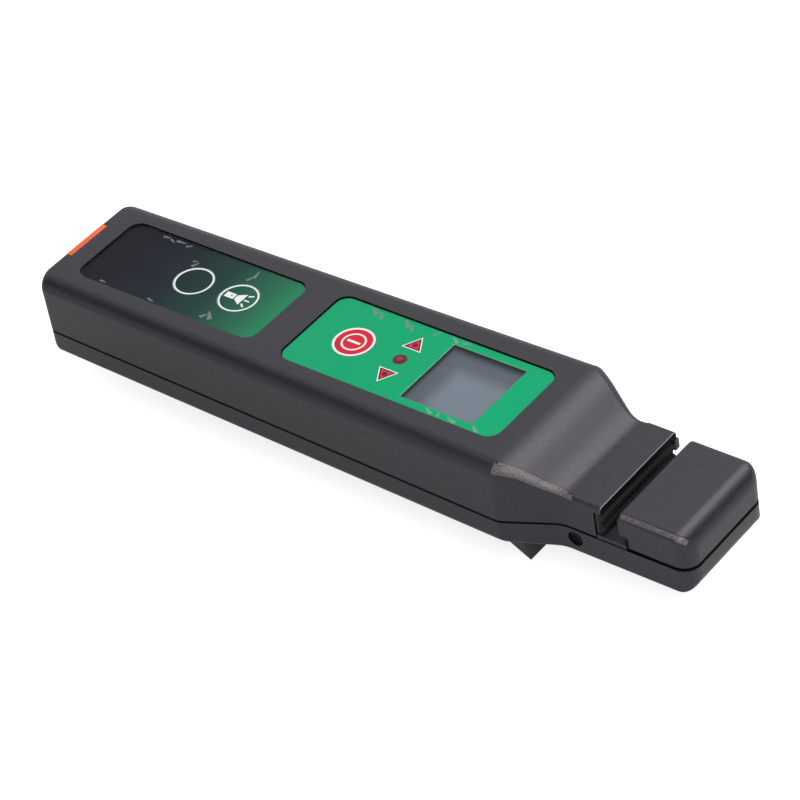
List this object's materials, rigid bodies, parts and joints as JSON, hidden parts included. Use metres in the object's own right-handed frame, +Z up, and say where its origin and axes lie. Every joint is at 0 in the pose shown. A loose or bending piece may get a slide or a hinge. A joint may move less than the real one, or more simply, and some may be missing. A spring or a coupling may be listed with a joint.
{
  "type": "optical fibre identifier",
  "caption": "Handheld fibre identifier: tapered casing with keys, lamps and display, and a slotted head whose trigger clamps a fibre.",
  "frame": {"origin": "on the surface that the trigger's tip stands on, below the middle of the casing", "axes": "+X along the casing to the head with the fibre slot, +Z up through the printed face, Y across the handle"},
  "size_m": [0.2, 0.045, 0.0382],
  "materials": {
    "casing": "satin, fine metallic fleck",
    "orange": "smooth",
    "navy": "satin film, dark blue to green",
    "green": "satin film",
    "red": "smooth",
    "red_lamp": "clear red",
    "jaw_black": "moulded",
    "pad_rubber": "ribbed",
    "inner_black": "moulded",
    "steel": "plain",
    "brass": "turned",
    "cell": "plain sleeve",
    "board": "solder mask",
    "window": "clear",
    "lcd": "grey, unlit"
  },
  "bodies": {
    "case": {"top_shell": "casing", "bottom_shell": "casing", "head_cap": "casing", "port_cover_pin": "steel", "case_screws": "steel", "head_screws": "steel", "rear_overlay": "navy", "display_overlay": "green", "key_switches": "inner_black", "lcd_window": "window", "lcd_module": "lcd", "direction_leds": "red_lamp", "signal_led": "red_lamp", "vfl_port_sleeve": "steel", "laser_module": "brass", "torch_led": "window", "torch_lens": "window", "main_pcb": "board", "board_chips": "inner_black", "shield_can": "steel", "buzzer": "inner_black", "battery_cells": "cell", "battery_tray": "inner_black", "battery_contacts": "steel", "battery_springs": "steel", "trigger_pivot_pin": "steel", "pivot_clips": "steel", "guide_rods": "steel", "mechanism_frame": "jaw_black", "slot_bed": "jaw_black", "return_spring": "steel", "detector_anvil": "jaw_black", "photodiodes": "steel", "detector_pcb": "board", "sensor_cable": "inner_black"},
    "trigger": {"trigger": "casing", "jaw_drive_pin": "steel"},
    "jaw": {"clamp_jaw": "jaw_black", "jaw_pad": "pad_rubber"},
    "vfl_key": {"vfl_key": "navy"},
    "torch_key": {"torch_key": "green"},
    "power_key": {"power_key": "red"},
    "port_cover": {"port_cover": "orange"},
    "battery_door": {"battery_door": "casing"}
  },
  "joints": [
    {"name": "trigger_pull", "type": "hinge", "parent": "case", "child": "trigger", "pos_m": [0.0669, 0, 0.01814], "axis": [0, 1, 0], "range_deg": [0, 26], "stiffness_Nm_per_rad": 0.15, "springref_deg": -11.46, "deforming": ["return_spring"]},
    {"name": "jaw_slide", "type": "slide", "parent": "case", "child": "jaw", "axis": [1, 0, 0], "range_m": [0, 0.00413]},
    {"name": "vfl_key_press", "type": "slide", "parent": "case", "child": "vfl_key", "axis": [0, 0, -1], "range_m": [0, 0.0004], "stiffness_N_per_m": 400, "springref_m": -0.0004},
    {"name": "torch_key_press", "type": "slide", "parent": "case", "child": "torch_key", "axis": [0, 0, -1], "range_m": [0, 0.0004], "stiffness_N_per_m": 400, "springref_m": -0.0004},
    {"name": "power_key_press", "type": "slide", "parent": "case", "child": "power_key", "axis": [0, 0, -1], "range_m": [0, 0.0004], "stiffness_N_per_m": 400, "springref_m": -0.0004},
    {"name": "port_cover_hinge", "type": "hinge", "parent": "case", "child": "port_cover", "pos_m": [-0.09865, 0, 0.02457], "axis": [0, -1, 0], "range_deg": [0, 100]},
    {"name": "battery_door_hinge", "type": "hinge", "parent": "case", "child": "battery_door", "pos_m": [-0.0086, 0, 0.0153], "axis": [0, -1, 0], "range_deg": [0, 80]}
  ],
  "couplings": [
    {"joint": "jaw_slide", "follows": "trigger_pull", "m_per_rad": 0.0090807}
  ]
}
